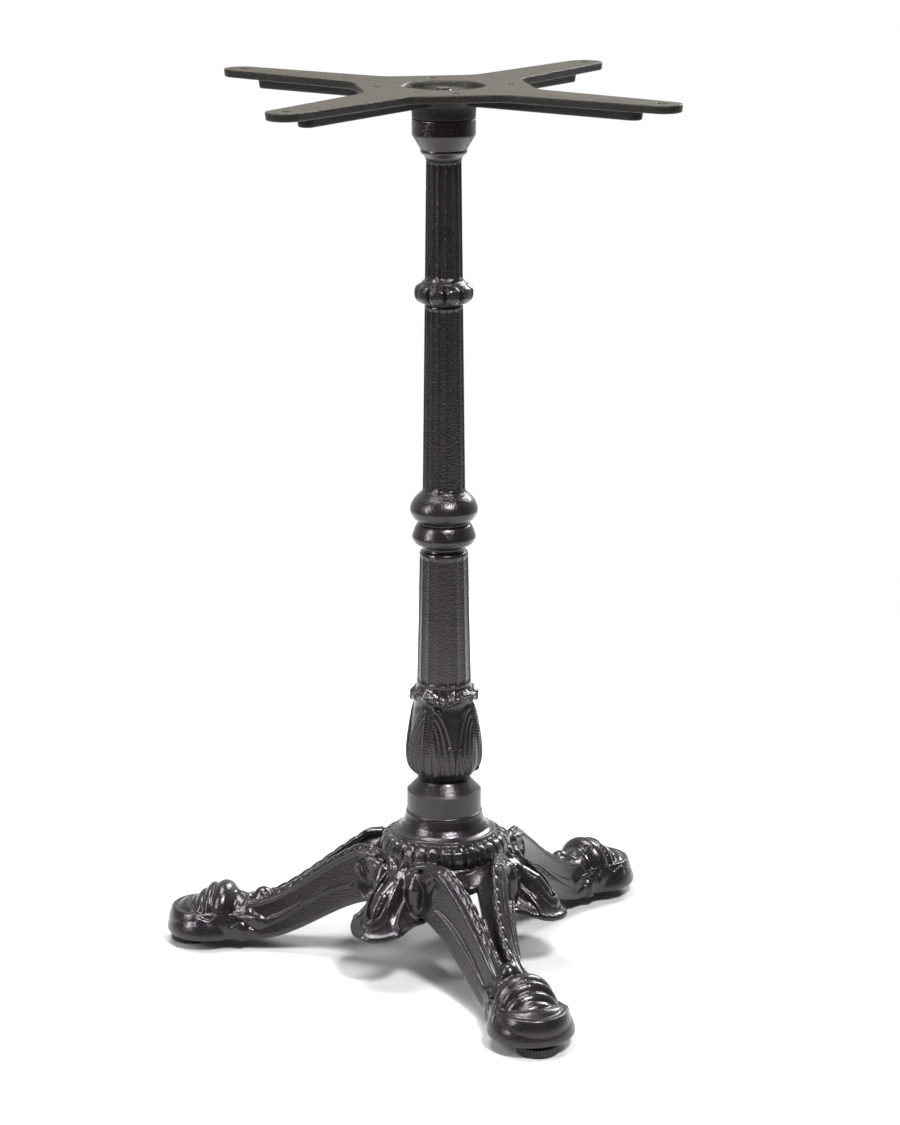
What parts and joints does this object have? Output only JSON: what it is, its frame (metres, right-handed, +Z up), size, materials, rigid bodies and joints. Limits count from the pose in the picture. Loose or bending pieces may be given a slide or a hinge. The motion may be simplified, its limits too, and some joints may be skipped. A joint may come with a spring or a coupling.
{
  "type": "cast-iron tripod table base",
  "caption": "Ornate cast-iron pedestal table base: four-arm top plate, fluted column, tripod with slipper feet and levelling screws.",
  "frame": {"origin": "the point on the floor under the column's axis", "axes": "+Z up along the column; the front leg points along -Y, the others 120 degrees apart"},
  "size_m": [0.4174, 0.4143, 0.72],
  "materials": {
    "black_coat": "gloss",
    "plate_coat": "satin",
    "plated_steel": "satin",
    "pad_plastic": "matte"
  },
  "bodies": {
    "frame": {"top_plate": "plate_coat", "column": "black_coat", "base_casting": "black_coat", "tie_rod": "plated_steel", "top_nut": "plated_steel", "top_spring_washer": "plated_steel", "top_washer": "plated_steel", "bottom_nut": "plated_steel", "bottom_spring_washer": "plated_steel", "bottom_washer": "plated_steel"},
    "leveller_1_screw": {"leveller_stud_1": "plated_steel"},
    "leveller_1_pad": {"leveller_pad_1": "pad_plastic"},
    "leveller_2_screw": {"leveller_stud_2": "plated_steel"},
    "leveller_2_pad": {"leveller_pad_2": "pad_plastic"},
    "leveller_3_screw": {"leveller_stud_3": "plated_steel"},
    "leveller_3_pad": {"leveller_pad_3": "pad_plastic"}
  },
  "joints": [
    {"name": "leveller_1_travel", "type": "slide", "parent": "frame", "child": "leveller_1_screw", "axis": [0, 0, -1], "range_m": [0, 0.012]},
    {"name": "leveller_1_turn", "type": "hinge", "parent": "leveller_1_screw", "child": "leveller_1_pad", "pos_m": [0, -0.2166, 0], "axis": [0, 0, -1], "range_deg": [0, 3456]},
    {"name": "leveller_2_travel", "type": "slide", "parent": "frame", "child": "leveller_2_screw", "axis": [0, 0, -1], "range_m": [0, 0.012]},
    {"name": "leveller_2_turn", "type": "hinge", "parent": "leveller_2_screw", "child": "leveller_2_pad", "pos_m": [0.18758, 0.1083, 0], "axis": [0, 0, -1], "range_deg": [0, 3456]},
    {"name": "leveller_3_travel", "type": "slide", "parent": "frame", "child": "leveller_3_screw", "axis": [0, 0, -1], "range_m": [0, 0.012]},
    {"name": "leveller_3_turn", "type": "hinge", "parent": "leveller_3_screw", "child": "leveller_3_pad", "pos_m": [-0.18758, 0.1083, 0], "axis": [0, 0, -1], "range_deg": [0, 3456]}
  ],
  "couplings": [
    {"joint": "leveller_1_travel", "follows": "leveller_1_turn", "m_per_rad": 0.00019894},
    {"joint": "leveller_2_travel", "follows": "leveller_2_turn", "m_per_rad": 0.00019894},
    {"joint": "leveller_3_travel", "follows": "leveller_3_turn", "m_per_rad": 0.00019894}
  ]
}
